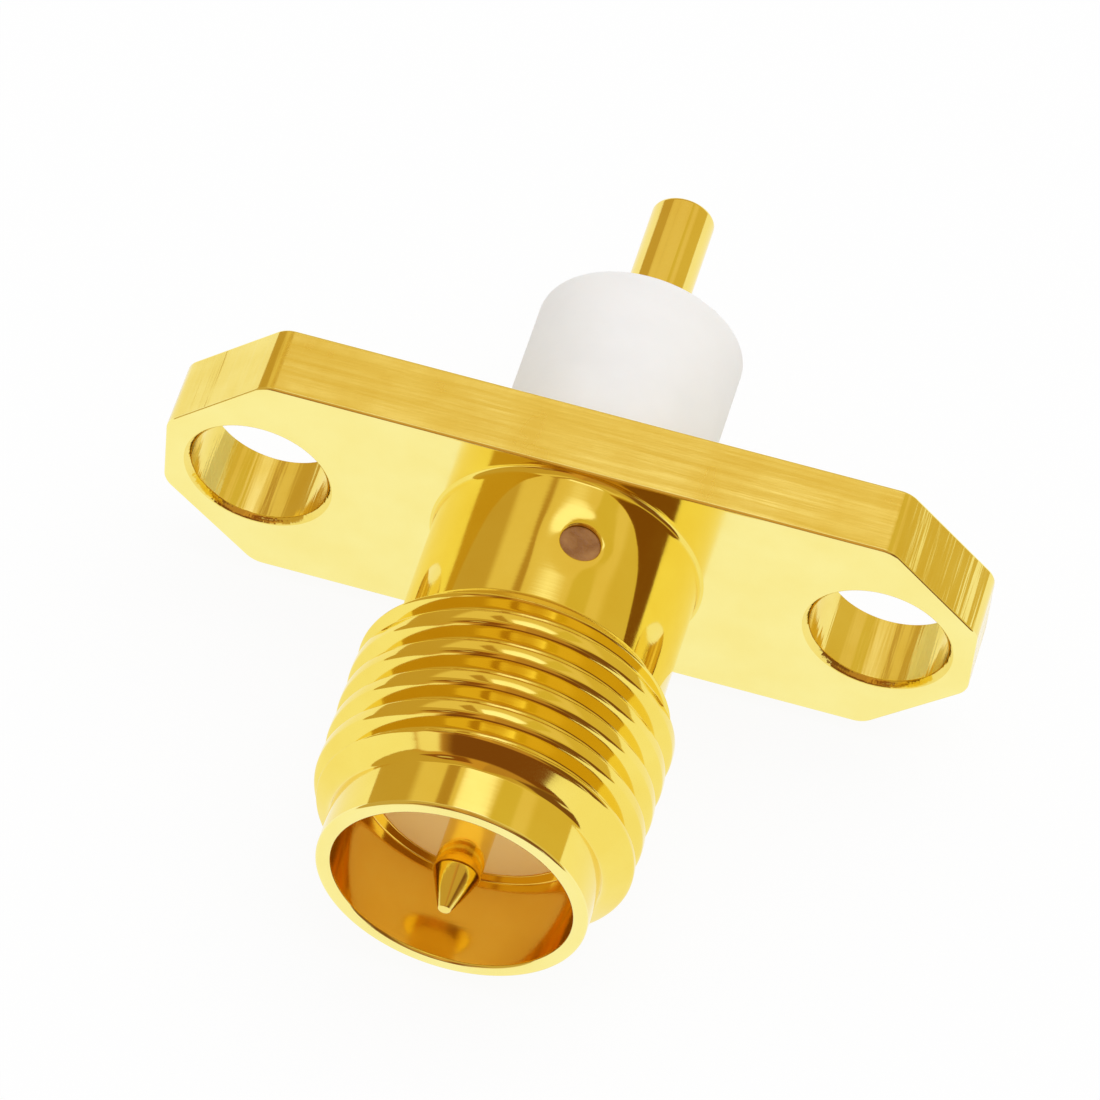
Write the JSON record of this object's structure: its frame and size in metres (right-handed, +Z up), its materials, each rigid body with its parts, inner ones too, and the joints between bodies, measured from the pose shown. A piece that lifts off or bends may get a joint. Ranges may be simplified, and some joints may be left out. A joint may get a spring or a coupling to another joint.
{
  "type": "sma connector",
  "caption": "Panel-mount coaxial connector with an oblong screw flange, a threaded barrel round a male pin, and a long white insulator with a solder tail behind.",
  "frame": {"origin": "on the barrel's axis, in the plane of the flange's rear mounting face", "axes": "+Y out of the mounting face along the barrel's axis, with the mouth towards -Y; +X along the flange's length; +Z up across the flange"},
  "size_m": [0.016, 0.0171, 0.0062],
  "materials": {
    "body_gold": "polished gold plate",
    "insulator_ptfe": "satin",
    "contact_gold": "polished gold plate",
    "lock_resin": "cast resin"
  },
  "bodies": {
    "root": {"body": "body_gold", "insulator": "insulator_ptfe", "contact": "contact_gold", "lock_resin": "lock_resin"}
  },
  "joints": []
}
